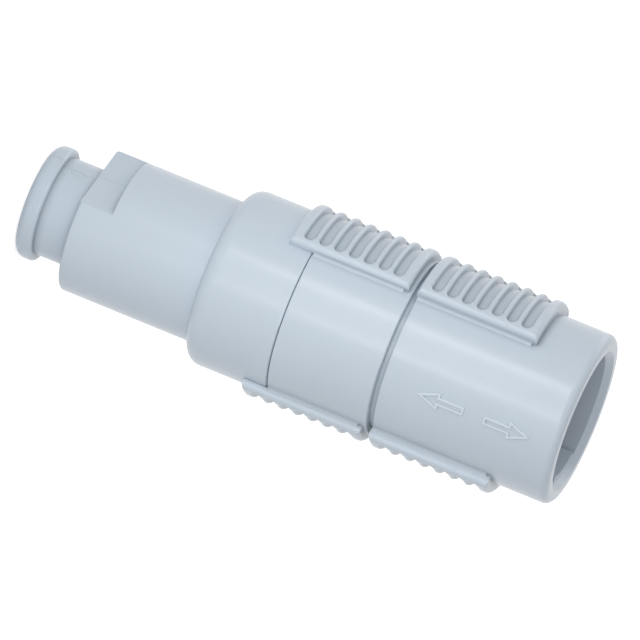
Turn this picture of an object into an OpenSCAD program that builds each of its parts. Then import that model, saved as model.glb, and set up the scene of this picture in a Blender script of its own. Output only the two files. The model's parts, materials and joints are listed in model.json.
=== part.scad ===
// Push pull circular cable connector, plastic, with a spring-loaded coupling sleeve.
// Millimetres. The axis is +Z, the rear face of the back nut stands on z = 0 and the
// mating end points up. The ribbed pads lie on +X and -X.

/* [Barrel] */
// Outer radius of the collar and the grip sleeve
barrel_r = 9.35; // [9:0.01:10]
// Step in radius from the grip sleeve down to the coupling sleeve
sleeve_step = 0.28; // [0.1:0.01:0.4]

/* [Back nut] */
// How far the bead that holds a bend relief boot stands out from the neck
bead_step = 0.78; // [0.6:0.01:1]
// Thickness of the bead
bead_t = 1.95; // [1.8:0.05:2.9]
// Step in radius from the shank down to the neck
neck_step = 2.29; // [2:0.01:2.5]
// Length of the neck
neck_len = 3.76; // [2.6:0.01:4]
// Length of the shank that shows behind the collar
shank_len = 14.5; // [13.5:0.1:17]
// Depth of the wrench flats
flat_depth = 1.76; // [1.2:0.01:1.9]
// Length of the wrench flats
flat_len = 3.57; // [2.5:0.01:3.8]
// Direction in which one wrench flat faces, measured from the pads
flat_turn = 22.5; // [0:0.5:90]
// Distance from the wrench flats to the nut's cavity
cavity_setback = 0.32; // [0.2:0.01:0.5]

/* [Nut thread] */
// Step in radius from the shank down to the thread's root
thread_step = 1.03; // [0.9:0.01:1.1]
// Wall of the nut inside its thread
stub_wall = 0.75; // [0.65:0.01:0.85]
// Depth of the thread
thread_depth = 0.4; // [0.3:0.01:0.45]
// Length of thread that is screwed in
thread_len = 3.5; // [3:0.1:3.8]
// Plain shank that is guided in the collar
pilot_len = 1.7; // [1.2:0.05:2]

/* [Collar] */
// Wall of the collar round the nut's shank
shank_wall = 1.76; // [1.7:0.01:1.9]
// Wall of the collar round the plug body
collar_wall = 1.45; // [1.3:0.01:1.5]
// Length of the collar
collar_len = 9.38; // [9:0.02:10.5]
// Radius of the round on the collar's rear edge
collar_round = 1.6; // [0.5:0.05:1.65]

/* [Grip sleeve] */
// Wall of the grip sleeve over the spring
grip_wall = 0.67; // [0.6:0.01:0.7]
// Length of the grip sleeve without its tongues
grip_len = 10.92; // [10:0.02:12]
// Width of the seam between collar and grip sleeve
seam_gap = 0.06; // [0.05:0.01:0.3]
// Length of the grip sleeve's land on the plug body
grip_land = 2.92; // [2:0.02:3.6]
// Distance from the pads' front end to the grip sleeve's front edge
pad_setback = 0.43; // [0.05:0.01:0.5]
// Gap between the tongues and the collar
tongue_gap = 0.03; // [0.03:0.01:0.1]

/* [Coupling sleeve] */
// Length of the coupling sleeve without its rear lip
sleeve_len = 18.92; // [18.4:0.02:21]
// Gap between grip sleeve and coupling sleeve
sleeve_gap = 0.56; // [0.5:0.01:1]
// How far the pads overhang the coupling sleeve's rear edge
pad_overhang = 0.1; // [0:0.01:0.11]
// Wall of the rear lip that telescopes into the grip sleeve
lip_wall = 0.94; // [0.8:0.01:1]
// Length of the rear lip
lip_len = 1.76; // [1.2:0.02:2.2]
// Wall of the sleeve round the coupling bore
sleeve_wall = 2.12; // [2:0.01:2.2]
// How much the bore widens at the rim
lead_in = 0.55; // [0.3:0.01:0.7]
// Length of the lead-in
lead_in_len = 0.68; // [0.3:0.02:1]
// Radius of the round on the outer edge of the rim
rim_round = 0.8; // [0.3:0.05:1]
// Height of the key lands in the bore
land_h = 0.6; // [0.4:0.01:0.7]
// Length of the key lands
land_len = 6; // [4:0.1:6.2]
// Travel of the coupling sleeve towards the rear
sleeve_travel = 0.4; // [0.3:0.01:0.4]

/* [Grip pads] */
// Height of the rib crests over the grip sleeve
pad_h = 0.95; // [0.8:0.01:1.2]
// Half the angle that a pad covers
pad_half = 38; // [30:0.5:42]
// Number of ribs on a pad
rib_count = 8; // [5:1:8]
// Distance from rib to rib
rib_pitch = 1.62; // [1.5:0.01:1.66]
// Distance from a pad's end to its first rib
end_rib = 0.85; // [0.8:0.01:1]
// Radius of the ribs' round tops
rib_round = 0.28; // [0.2:0.01:0.35]
// Slope of the ribs' sides
rib_draft = 15; // [5:1:20]
// Depth of the grooves
groove_depth = 0.6; // [0.4:0.01:0.65]
// Angle from a pad's side to its grooves' straight part
groove_stop = 7; // [6:0.5:12]
// Radius of the rounds on a pad's top edges
pad_round = 0.5; // [0.2:0.02:0.6]
// Radius of the fillets at a pad's foot
foot_fillet = 0.4; // [0.2:0.02:0.6]

/* [Plug body] */
// Wall of the plug body round the wiring space
body_wall = 1; // [0.9:0.01:1.1]
// Wall of the plug body round the inserts
insert_wall = 1.55; // [1.45:0.01:1.7]
// Wall of the nose
nose_wall = 0.7; // [0.6:0.01:0.8]
// Gap between the nose and the coupling bore
nose_gap = 1.35; // [1.3:0.01:1.5]
// Distance from the rim to the nose's end
nose_setback = 7.08; // [6.9:0.01:7.9]
// Length of the guide bore in the coupling sleeve
guide_len = 5.1; // [4.5:0.05:5.6]
// Length of the body in front of the stop ring's rear face
front_land = 1.5; // [1.3:0.05:1.7]

/* [Inner parts] */
// Wall of the clamp ring at its front
clamp_wall = 0.5; // [0.4:0.01:0.6]
// Length of the clamp ring
clamp_len = 2.98; // [2.6:0.02:3.2]
// Wall of the cable collet
collet_wall = 1.2; // [1.1:0.01:1.3]
// Length of the collet's slots
slot_len = 8.4; // [6:0.1:9]
// Number of slots in the collet
slot_count = 6; // [4:1:8]
// Width of the slots
slot_w = 0.8; // [0.7:0.01:1]
// Thickness of the collet's flange
collet_flange_t = 1.08; // [0.9:0.01:1.2]
// Wall of the cable seal
seal_wall = 1.05; // [0.7:0.05:1.4]
// Length of the cable seal
seal_len = 5; // [4:0.1:5.4]
// Radius of the O-ring's section
oring_r = 0.42; // [0.38:0.01:0.45]
// Radius of the spring wire
wire_r = 0.32; // [0.25:0.01:0.36]
// Turns of the return spring
spring_turns = 5; // [4:1:6]
// Thickness of the stop ring
stop_t = 0.8; // [0.6:0.01:0.9]
// Wall of the coupling sleeve round the stop ring
pocket_wall = 0.87; // [0.8:0.01:1]
// Length of the rear insert
rear_insert_len = 5.96; // [5:0.02:6.4]
// Length of the retainer ring
retainer_len = 1.6; // [1.2:0.02:2]

/* [Latch ring] */
// Length of the latch ring's base
latch_base = 1.9; // [1.4:0.05:2.2]
// Distance from the latch hooks to the key lands
latch_gap = 1.38; // [1.3:0.01:2]
// Number of latch fingers
finger_count = 4; // [3:1:4]
// Angle that a finger covers
finger_angle = 36; // [24:1:48]
// Thickness of a finger
finger_t = 0.35; // [0.3:0.01:0.4]
// Gap between the latch hooks and the coupling bore
hook_gap = 0.3; // [0.25:0.01:0.4]

/* [Contacts] */
// Contacts in the ring round the middle one
ring_contacts = 7; // [4:1:7]
// Radius of the contact circle
contact_circle_r = 2.9; // [2.8:0.01:3]
// Radius of the contact pins
pin_r = 0.45; // [0.35:0.01:0.5]
// Length of pin that stands out of the insert
pin_out = 3.7; // [3:0.1:3.8]
// Radius of the contacts' shoulders
shoulder_r = 0.85; // [0.75:0.01:0.9]
// Radius of the contacts' tails
tail_r = 0.7; // [0.6:0.01:0.75]

/* [Fits] */
// Radial clearance of pieces that turn or slide
run_clear = 0.06; // [0.04:0.01:0.08]
// Radial clearance of pieces that are seated
fit_clear = 0.05; // [0.03:0.01:0.06]
// Axial clearance of pieces that are seated
seat_gap = 0.02; // [0.01:0.01:0.04]

/* [Hidden] */
$fn = 96;
over = 1;
small_edge = 0.15;
bar_rise = 0.02;
bar_lap = 0.5;
pad_root = 0.3;

plastic = [0.76, 0.8, 0.85];
dark_plastic = [0.25, 0.27, 0.3];
pale_plastic = [0.88, 0.88, 0.84];
seal_rubber = [0.2, 0.2, 0.22];
steel = [0.72, 0.73, 0.75];
gold = [0.85, 0.68, 0.32];

// Outside, from the rear face to the rim
shank_r = barrel_r - shank_wall - run_clear;
neck_r = shank_r - neck_step;
bead_r = neck_r + bead_step;
sleeve_r = barrel_r - sleeve_step;
crest_r = barrel_r + pad_h;
z_shank = bead_t + neck_len;
z_collar = z_shank + shank_len;
z_seam = z_collar + collar_len;
z_grip = z_seam + seam_gap;
z_grip_end = z_grip + grip_len;
z_sleeve = z_grip_end + sleeve_gap;
z_rim = z_sleeve + sleeve_len;
pad_len = (rib_count - 1) * rib_pitch + 2 * end_rib;
z_pad_front = z_sleeve - pad_overhang;
z_pad_rear = z_grip_end - pad_setback - pad_len;
bead_round = 1;
bead_front_round = 0.35;
nut_round = 0.3;

// Nut, clamp ring and collet
z_pilot = z_collar + pilot_len;
z_stub = z_pilot + thread_len;
z_cavity = z_shank + flat_len + cavity_setback;
thread_minor_r = shank_r - thread_step;
thread_bore_r = thread_minor_r + thread_depth + fit_clear;
cavity_r = thread_minor_r - stub_wall;
clamp_clear = 0.1;
clamp_r = cavity_r - clamp_clear;
z_clamp = z_cavity + seat_gap;
clamp_front_r = clamp_r - clamp_wall;
collet_clear = 0.25;
collet_r = clamp_front_r - collet_clear;
collet_bore_r = collet_r - collet_wall;
entry_step = 0.4;
cable_r = collet_bore_r - entry_step;
clamp_rear_r = collet_bore_r - clamp_clear;
cone_slope = (clamp_front_r - clamp_rear_r) / clamp_len;
cone_gap = 0.12;
ridge_h = 0.25;
ridge_t = 0.35;
z_ridge = z_clamp + clamp_len + 3 * seat_gap;
collet_entry = 1;
z_collet_tip = z_clamp + collet_entry;
collet_tip_r = clamp_rear_r + cone_slope * collet_entry - cone_gap;
z_collet_cone = z_collet_tip + (collet_r - collet_tip_r) / cone_slope;
key_gap = 0.2;

// Collar, plug body and grip sleeve
flange_gap = 0.5;
z_flange = z_stub + flange_gap;
z_body = z_flange + collet_flange_t + 2 * seat_gap;
spigot_bore_r = barrel_r - collar_wall;
spigot_r = spigot_bore_r - fit_clear;
grip_bore_r = barrel_r - grip_wall;
lip_clear = run_clear + seat_gap;
lip_r = grip_bore_r - lip_clear;
body_r = lip_r - lip_wall - run_clear;
wiring_r = body_r - body_wall;
oring_mean_r = spigot_bore_r - oring_r - seat_gap;
z_oring = (z_body + z_grip) / 2;
oring_play = 0.1;
oring_groove = 2 * oring_r + oring_play;
z_spring = z_grip + grip_land;
snap_h = 0.15;
snap_t = 0.35;
closed_turns = 0.9;

// Coupling sleeve, stop ring and nose
bore_r = sleeve_r - sleeve_wall;
lead_in_r = bore_r + lead_in;
land_r = bore_r - land_h;
nose_r = bore_r - nose_gap;
z_lip = z_sleeve - lip_len;
z_stop = z_lip + guide_len;
pocket_clear = 0.1;
pocket_r = sleeve_r - pocket_wall;
stop_r = pocket_r - pocket_clear;
z_nose = z_stop + front_land;
pocket_play = 0.25;
z_pocket_end = z_nose + sleeve_travel + pocket_play;
z_nose_end = z_rim - nose_setback;
stop_groove = 0.6;
stop_groove_r = body_r - stop_groove;
stop_opening = 44;
z_land = z_rim - lead_in_len - land_len;
z_latch = z_nose + seat_gap;
z_hook_end = z_land - latch_gap;
hook_r = bore_r - hook_gap;
hook_h = 0.3;
seat_step = 0.05;
// Start and end angles of the key lands
key_lands = [[209.5, 260.5], [292.5, 327.5], [352.5, 401.5]];

// Inserts and contacts
insert_bore_r = body_r - insert_wall;
insert_r = insert_bore_r - fit_clear;
tip_bore_r = nose_r - nose_wall;
tip_r = tip_bore_r - fit_clear;
step_setback = 2;
z_step = z_nose - step_setback;
insert_flange_t = 1.98;
z_front_insert = z_step - seat_gap - insert_flange_t;
tip_setback = 0.8;
z_front_insert_end = z_nose_end - tip_setback;
z_rear_insert = z_front_insert - seat_gap - rear_insert_len;
z_retainer = z_rear_insert - seat_gap - retainer_len;
retainer_wall = 2.25;
pin_gap = 0.05;
shoulder_depth = 3.5;
z_shoulder_end = z_nose;
z_shoulder = z_front_insert - shoulder_depth;
z_pin_tip = z_front_insert_end + pin_out;
tail_out = 4;
z_tail = z_rear_insert - tail_out;
cup_len = 2.5;
cup_wall = 0.22;

contact_names = [for (i = [1 : ring_contacts + 1]) str("contact_", i)];

// ---- shared forms ----

// A plain tube from z0 to z1.
module tube(r_out, r_in, z0, z1) {
    difference() {
        translate([0, 0, z0]) cylinder(r = r_out, h = z1 - z0);
        translate([0, 0, z0 - over]) cylinder(r = r_in, h = z1 - z0 + 2 * over);
    }
}

// What a round of radius r takes off a corner at [x, y]. sx and sy point out of the corner.
module corner_off(x, y, r, sx, sy) {
    translate([x, y]) mirror([sx > 0 ? 0 : 1, 0]) mirror([0, sy > 0 ? 0 : 1])
        difference() {
            translate([-r, -r]) square(r + over);
            translate([-r, -r]) circle(r);
        }
}

// A flat wedge between two angles, for cutting sectors.
module wedge(a0, a1, r) {
    steps = max(1, ceil((a1 - a0) / 30));
    polygon(concat([[0, 0]],
        [for (i = [0 : steps]) let (a = a0 + (a1 - a0) * i / steps) 2 * r * [cos(a), sin(a)]]));
}

// A ring sector, extruded from z0 to z1.
module sector(r_out, r_in, a0, a1, z0, z1) {
    translate([0, 0, z0]) linear_extrude(z1 - z0)
        intersection() {
            difference() {
                circle(r_out);
                circle(r_in);
            }
            wedge(a0, a1, r_out);
        }
}

// ---- grip pads ----

// Cross-section of one side bar of a pad, on the +Y side, with a round top edge.
module bar_section(inner_r) {
    round_turn = asin(pad_round / (crest_r - pad_round));
    intersection() {
        difference() {
            circle(crest_r);
            circle(inner_r);
        }
        wedge(pad_half - groove_stop, pad_half - round_turn, crest_r);
    }
    intersection() {
        difference() {
            circle((crest_r - pad_round) * cos(round_turn));
            circle(inner_r);
        }
        wedge(pad_half - round_turn - 1, pad_half, crest_r);
    }
    rotate(pad_half - round_turn) translate([crest_r - pad_round, 0]) circle(pad_round);
}

// Cross-section of the fillet between a side bar and a sleeve of radius foot_r. It runs a
// little into both, so that no faces only touch.
module foot_section(foot_r, inner_r) {
    reach = 0.97 * foot_fillet;
    centre_r = foot_r + reach;
    turn = asin(reach / centre_r);
    inside = [cos(pad_half - 1), sin(pad_half - 1)];
    wall = [cos(pad_half), sin(pad_half)];
    beyond = [cos(pad_half + turn), sin(pad_half + turn)];
    difference() {
        polygon([inner_r * inside, centre_r * cos(turn) * inside, centre_r * cos(turn) * wall,
            centre_r * beyond, inner_r * beyond]);
        translate(centre_r * beyond) circle(foot_fillet, $fn = 32);
    }
}

// Lengthwise outline of a pad that starts at z0, with round ends, inset all round.
module pad_outline(z0, inner_r, inset) {
    top_r = crest_r - inset;
    difference() {
        translate([inner_r, z0 + inset]) square([top_r - inner_r, pad_len - 2 * inset]);
        corner_off(top_r, z0 + inset, pad_round, 1, -1);
        corner_off(top_r, z0 + pad_len - inset, pad_round, 1, 1);
    }
}

// Half the width of a groove at a depth, where the ribs' sides are straight.
function groove_half(depth) =
    (rib_pitch / 2 - rib_round * cos(rib_draft))
    - (depth - rib_round + rib_round * sin(rib_draft)) * tan(rib_draft);

// The same outline with the grooves between its round-topped ribs.
module ribbed_outline(z0, inner_r, inset) {
    floor_w = groove_half(groove_depth);
    shoulder = rib_round * (1 - sin(rib_draft));
    shoulder_w = groove_half(shoulder);
    difference() {
        pad_outline(z0, inner_r, inset);
        for (i = [0 : rib_count - 2])
            translate([crest_r - inset, z0 + end_rib + (i + 0.5) * rib_pitch]) {
                polygon([
                    [-groove_depth, -floor_w], [-shoulder, -shoulder_w], [over, -shoulder_w],
                    [over, shoulder_w], [-shoulder, shoulder_w], [-groove_depth, floor_w]
                ]);
                difference() {
                    translate([-shoulder, -rib_pitch / 2]) square([shoulder + over, rib_pitch]);
                    for (side = [-1, 1])
                        translate([-rib_round, side * rib_pitch / 2]) circle(rib_round);
                }
            }
    }
}

// A whole pad on +X that starts at z0, with its foot fillets in front of z_foot.
module pad(z0, foot_r, z_foot) {
    inner_r = foot_r - pad_root;
    stop = pad_half - groove_stop;
    groove_end_r = groove_half(groove_depth) - bar_rise;
    rotate([0, 0, -stop - bar_lap]) rotate_extrude(angle = 2 * (stop + bar_lap))
        ribbed_outline(z0, inner_r, bar_rise);
    for (side = [0, 1])
        mirror([0, side, 0]) {
            difference() {
                intersection() {
                    translate([0, 0, z0]) linear_extrude(pad_len) bar_section(inner_r);
                    rotate([0, 0, stop - 5]) rotate_extrude(angle = groove_stop + 10)
                        pad_outline(z0, inner_r - over, 0);
                }
                for (i = [0 : rib_count - 2])
                    rotate([0, 0, stop]) translate([0, 0, z0 + end_rib + (i + 0.5) * rib_pitch])
                        rotate([0, 90, 0]) translate([0, 0, crest_r - groove_depth])
                            cylinder(r1 = groove_end_r,
                                r2 = groove_end_r + (groove_depth + over) * tan(rib_draft),
                                h = groove_depth + over, $fn = 32);
            }
            translate([0, 0, max(z0, z_foot)])
                linear_extrude(z0 + pad_len - pad_round - max(z0, z_foot))
                    foot_section(foot_r, inner_r);
        }
}

// ---- back nut, clamp and cable parts ----

// Nut, neck and boot bead, one moulding.
module back_nut() {
    color(plastic)
        difference() {
            rotate_extrude() difference() {
                polygon([
                    [cable_r, 0], [bead_r, 0], [bead_r, bead_t], [neck_r, bead_t],
                    [neck_r, z_shank], [shank_r, z_shank], [shank_r, z_pilot],
                    [thread_minor_r, z_pilot], [thread_minor_r, z_stub], [cavity_r, z_stub],
                    [cavity_r, z_ridge + ridge_t], [cavity_r - ridge_h, z_ridge + ridge_t / 2],
                    [cavity_r, z_ridge], [cavity_r, z_cavity], [cable_r, z_cavity]
                ]);
                corner_off(bead_r, 0, bead_round, 1, -1);
                corner_off(bead_r, bead_t, bead_front_round, 1, 1);
                corner_off(cable_r, 0, bead_round / 2, -1, -1);
                corner_off(shank_r, z_shank, nut_round, 1, -1);
            }
            for (side = [0, 180])
                rotate([0, 0, flat_turn + side])
                    translate([shank_r - flat_depth, -shank_r, z_shank - small_edge])
                        cube([shank_r, 2 * shank_r, flat_len + small_edge]);
        }
}

// Slip ring with an inner cone and a key that enters one of the collet's slots.
module clamp_ring() {
    key_w = slot_w - key_gap;
    color(pale_plastic) {
        rotate_extrude() polygon([
            [clamp_rear_r, z_clamp], [clamp_r, z_clamp], [clamp_r, z_clamp + clamp_len],
            [clamp_front_r, z_clamp + clamp_len]
        ]);
        intersection() {
            translate([collet_bore_r + clamp_clear, -key_w / 2, z_clamp + seat_gap])
                cube([clamp_r, key_w, clamp_len - 3 * seat_gap]);
            translate([0, 0, z_clamp]) cylinder(r = clamp_r - clamp_wall / 2, h = clamp_len);
        }
    }
}

// Split collet with a cone at the tips of its fingers and a flange that the plug body clamps.
module cable_collet() {
    color(pale_plastic)
        difference() {
            rotate_extrude() polygon([
                [collet_bore_r, z_collet_tip], [collet_tip_r, z_collet_tip],
                [collet_r, z_collet_cone], [collet_r, z_flange + seat_gap],
                [spigot_r, z_flange + seat_gap],
                [spigot_r, z_flange + seat_gap + collet_flange_t],
                [collet_bore_r, z_flange + seat_gap + collet_flange_t]
            ]);
            for (i = [0 : slot_count - 1])
                rotate([0, 0, i * 360 / slot_count])
                    translate([0, -slot_w / 2, z_collet_tip - over])
                        cube([collet_r + over, slot_w, slot_len + over]);
        }
}

// Rubber sleeve that closes round the cable.
module cable_seal() {
    slot_end_gap = 0.4;
    z_seal = z_collet_tip + slot_len + slot_end_gap;
    rib = 0.3;
    outer_r = collet_bore_r - fit_clear;
    color(seal_rubber)
        rotate_extrude() difference() {
            translate([outer_r - seal_wall, z_seal]) square([seal_wall, seal_len]);
            for (i = [1 : 3])
                translate([outer_r - seal_wall, z_seal + i * seal_len / 4]) circle(rib);
        }
}

// ---- collar, plug body and grip sleeve ----

// Ring that the nut screws into and the plug body is fixed in.
module rear_collar() {
    thread_relief = 0.1;
    color(plastic)
        rotate_extrude() difference() {
            polygon([
                [barrel_r - shank_wall, z_collar], [barrel_r, z_collar], [barrel_r, z_seam],
                [spigot_bore_r, z_seam], [spigot_bore_r, z_flange], [thread_bore_r, z_flange],
                [thread_bore_r, z_pilot + thread_relief],
                [barrel_r - shank_wall, z_pilot + thread_relief]
            ]);
            corner_off(barrel_r, z_collar, collar_round, 1, -1);
            corner_off(barrel_r, z_seam, small_edge, 1, 1);
        }
}

// Tube that carries the inserts, the sleeves and the latch.
module plug_body() {
    snap_z = z_spring + seat_gap;
    nose_chamfer = 0.3;
    color(plastic)
        rotate_extrude() polygon([
            [wiring_r, z_body], [spigot_r, z_body],
            [spigot_r, z_oring - oring_groove / 2],
            [oring_mean_r - oring_r, z_oring - oring_groove / 2],
            [oring_mean_r - oring_r, z_oring + oring_groove / 2],
            [spigot_r, z_oring + oring_groove / 2],
            [spigot_r, z_grip - seat_gap], [body_r, z_grip - seat_gap],
            [body_r, snap_z], [body_r + snap_h, snap_z + snap_t / 2], [body_r, snap_z + snap_t],
            [body_r, z_stop], [stop_groove_r, z_stop],
            [stop_groove_r, z_stop + stop_t + 2 * seat_gap],
            [body_r, z_stop + stop_t + 2 * seat_gap], [body_r, z_nose], [nose_r, z_nose],
            [nose_r, z_nose_end - nose_chamfer], [nose_r - nose_chamfer, z_nose_end],
            [tip_bore_r, z_nose_end], [tip_bore_r, z_step], [insert_bore_r, z_step],
            [insert_bore_r, z_rear_insert], [wiring_r, z_rear_insert]
        ]);
}

// O-ring between collar and plug body.
module body_oring() {
    color(seal_rubber)
        rotate_extrude() translate([oring_mean_r, z_oring]) circle(oring_r - seat_gap / 2, $fn = 48);
}

// Middle sleeve with two ribbed pads, whose tongues reach back over the collar.
module grip_sleeve() {
    color(plastic)
        difference() {
            union() {
                rotate_extrude() difference() {
                    translate([body_r - over, z_grip]) square([barrel_r - body_r + over, grip_len]);
                    corner_off(barrel_r, z_grip, small_edge, 1, -1);
                    corner_off(barrel_r, z_grip_end, small_edge, 1, 1);
                }
                for (side = [0, 180])
                    rotate([0, 0, side]) pad(z_pad_rear, barrel_r, z_grip + small_edge);
            }
            translate([0, 0, z_collar]) cylinder(r = barrel_r + tongue_gap, h = z_grip - z_collar);
            translate([0, 0, z_collar]) cylinder(r = body_r + fit_clear, h = z_rim - z_collar);
            translate([0, 0, z_spring]) cylinder(r = grip_bore_r, h = grip_len);
        }
}

// ---- coupling sleeve with its spring, stop ring and latch ----

// Front sleeve: guide bore, pocket for the stop ring, keyed coupling bore and two ribbed pads.
module coupling_sleeve() {
    rear_chamfer = 0.12;
    color(plastic) {
        difference() {
            union() {
                rotate_extrude() difference() {
                    translate([bore_r - over, z_lip])
                        square([sleeve_r - bore_r + over, z_rim - z_lip]);
                    translate([lip_r, z_lip - over]) square([over, lip_len + over]);
                    corner_off(sleeve_r, z_sleeve, rear_chamfer, 1, -1);
                    corner_off(sleeve_r, z_rim, rim_round, 1, 1);
                }
                for (side = [0, 180])
                    rotate([0, 0, side]) pad(z_pad_front, sleeve_r, z_sleeve);
            }
            translate([0, 0, z_lip - over]) cylinder(r = body_r + run_clear, h = guide_len + over);
            translate([0, 0, z_lip]) cylinder(r = bore_r, h = z_rim);
            translate([0, 0, z_stop - seat_gap])
                cylinder(r = pocket_r, h = z_pocket_end - z_stop + seat_gap);
            translate([0, 0, z_rim - lead_in_len])
                cylinder(r1 = bore_r, r2 = lead_in_r, h = lead_in_len);
        }
        for (land = key_lands)
            key_land(land[0], land[1]);
    }
}

// One key land in the coupling bore. Its rear end is a ramp that closes the latch fingers.
module key_land(a0, a1) {
    ramp = bore_r - land_r;
    intersection() {
        sector(bore_r + 0.3, land_r, a0, a1, z_land, z_rim - lead_in_len);
        rotate_extrude() polygon([
            [land_r, z_land + ramp], [bore_r, z_land], [bore_r + over, z_land],
            [bore_r + over, z_rim], [land_r, z_rim]
        ]);
    }
}

// Height of the spring wire's centre after a share u of its turns, with closed ends.
function spring_z(u, z0, z1) =
    let (closed = closed_turns / (spring_turns + 2 * closed_turns), tail = 2.1 * wire_r)
    u < closed ? z0 + tail * u / closed
    : u > 1 - closed ? z1 - tail * (1 - u) / closed
    : z0 + tail + (z1 - z0 - 2 * tail) * (u - closed) / (1 - 2 * closed);

// Coil spring between the grip sleeve's step and the coupling sleeve's lip.
module return_spring() {
    turns = spring_turns + 2 * closed_turns;
    rings = ceil(turns * 20);
    sides = 6;
    coil_r = (body_r + run_clear + grip_bore_r) / 2 + seat_gap;
    z0 = z_spring + wire_r + seat_gap;
    z1 = z_lip - wire_r - seat_gap;
    points = [for (i = [0 : rings], j = [0 : sides - 1])
        let (turn = 360 * turns * i / rings, side = 360 * j / sides,
            r = coil_r + wire_r * cos(side), z = spring_z(i / rings, z0, z1) + wire_r * sin(side))
        [r * cos(turn), r * sin(turn), z]];
    walls = [for (i = [0 : rings - 1], j = [0 : sides - 1])
        let (k = (j + 1) % sides)
        [i * sides + j, i * sides + k, (i + 1) * sides + k, (i + 1) * sides + j]];
    caps = [[for (j = [sides - 1 : -1 : 0]) j], [for (j = [0 : sides - 1]) rings * sides + j]];
    color(steel) polyhedron(points, concat(walls, caps));
}

// Split ring in the plug body's groove, which the coupling sleeve's shoulder rests on.
module stop_ring() {
    color(steel)
        difference() {
            tube(stop_r, stop_groove_r + fit_clear, z_stop + seat_gap, z_stop + seat_gap + stop_t);
            translate([0, 0, z_stop - over]) linear_extrude(stop_t + 2 * over)
                wedge(90 - stop_opening / 2, 90 + stop_opening / 2, stop_r);
        }
}

// Latch ring: a base on the nose and spring fingers with hooks.
module latch_ring() {
    base_r = hook_r - seat_step;
    finger_r = hook_r - hook_h;
    hook_len = 1;
    ramp_len = 0.3;
    root = 0.2;
    color(pale_plastic) {
        tube(base_r, nose_r + fit_clear, z_latch, z_latch + latch_base);
        for (i = [0 : finger_count - 1]) {
            mid = 45 + i * 360 / finger_count;
            sector(finger_r, finger_r - finger_t, mid - finger_angle / 2, mid + finger_angle / 2,
                z_latch + latch_base - root, z_hook_end);
            intersection() {
                sector(hook_r, finger_r - finger_t, mid - finger_angle / 2, mid + finger_angle / 2,
                    z_hook_end - hook_len - ramp_len, z_hook_end);
                rotate_extrude() polygon([
                    [finger_r - finger_t, z_hook_end - hook_len - ramp_len],
                    [finger_r, z_hook_end - hook_len - ramp_len],
                    [hook_r, z_hook_end - hook_len],
                    [hook_r, z_hook_end - hook_len / 2], [finger_r, z_hook_end],
                    [finger_r - finger_t, z_hook_end]
                ]);
            }
        }
    }
}

// ---- inserts and contacts ----

// Places of the contacts: the first in the middle, the others on a circle.
function contact_at(i) =
    i == 0 ? [0, 0]
    : contact_circle_r * [cos(90 + (i - 1) * 360 / ring_contacts),
        sin(90 + (i - 1) * 360 / ring_contacts)];

// Holes for all contacts between two heights.
module contact_holes(r, z0, z1) {
    for (i = [0 : ring_contacts])
        translate([contact_at(i)[0], contact_at(i)[1], z0]) cylinder(r = r, h = z1 - z0, $fn = 48);
}

// Ring behind the rear insert.
module insert_retainer() {
    notch_w = 1.2;
    notch_depth = 0.7;
    outer_r = wiring_r - fit_clear;
    color(dark_plastic)
        difference() {
            tube(outer_r, outer_r - retainer_wall, z_retainer, z_retainer + retainer_len);
            for (side = [0, 90])
                rotate([0, 0, side]) translate([-wiring_r, -notch_w / 2, z_retainer - over])
                    cube([2 * wiring_r, notch_w, over + notch_depth]);
        }
}

// Insert that holds the contacts' shoulders from behind.
module rear_insert() {
    color(dark_plastic)
        difference() {
            translate([0, 0, z_rear_insert]) cylinder(r = insert_r, h = rear_insert_len);
            contact_holes(tail_r + pin_gap, z_rear_insert - over, z_front_insert);
            contact_holes(shoulder_r + pin_gap, z_shoulder - seat_gap, z_front_insert);
        }
}

// Insert that the pins stand out of.
module front_insert() {
    color(dark_plastic)
        difference() {
            union() {
                translate([0, 0, z_front_insert]) cylinder(r = insert_r, h = insert_flange_t);
                translate([0, 0, z_front_insert])
                    cylinder(r = tip_r, h = z_front_insert_end - z_front_insert);
            }
            contact_holes(pin_r + pin_gap, z_front_insert - over, z_front_insert_end + over);
            contact_holes(shoulder_r + pin_gap, z_front_insert - over, z_shoulder_end + seat_gap);
        }
}

// One contact: round-tipped pin, shoulder and solder cup.
module contact(i) {
    cup_cut = 1.2;
    color(gold) translate([contact_at(i)[0], contact_at(i)[1], 0])
        difference() {
            rotate_extrude($fn = 48) difference() {
                polygon([
                    [0, z_tail], [tail_r, z_tail], [tail_r, z_shoulder], [shoulder_r, z_shoulder],
                    [shoulder_r, z_shoulder_end], [pin_r, z_shoulder_end], [pin_r, z_pin_tip],
                    [0, z_pin_tip]
                ]);
                corner_off(pin_r, z_pin_tip, pin_r * 0.8, 1, 1);
            }
            translate([0, 0, z_tail - over]) cylinder(r = tail_r - cup_wall, h = cup_len + over, $fn = 48);
            translate([0, -tail_r, z_tail - over]) cube([over, 2 * tail_r, cup_cut + over]);
        }
}

back_nut();
clamp_ring();
cable_collet();
cable_seal();
rear_collar();
plug_body();
body_oring();
grip_sleeve();
return_spring();
coupling_sleeve();
stop_ring();
latch_ring();
insert_retainer();
rear_insert();
front_insert();
for (i = [0 : ring_contacts])
    contact(i);
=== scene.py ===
"""Looks of a push pull circular connector: finishes, screw threads, push and pull signs, moulding marks.

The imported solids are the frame. This file gives each of them its finish and adds what is too fine
for them. Lengths are metres, angles in field names are degrees, and the connector's axis is +Z.
"""

import json
import logging
import math
from contextlib import contextmanager
from dataclasses import dataclass
from enum import Enum
from typing import Iterator

import bpy
from mathutils import Matrix, Vector

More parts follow.
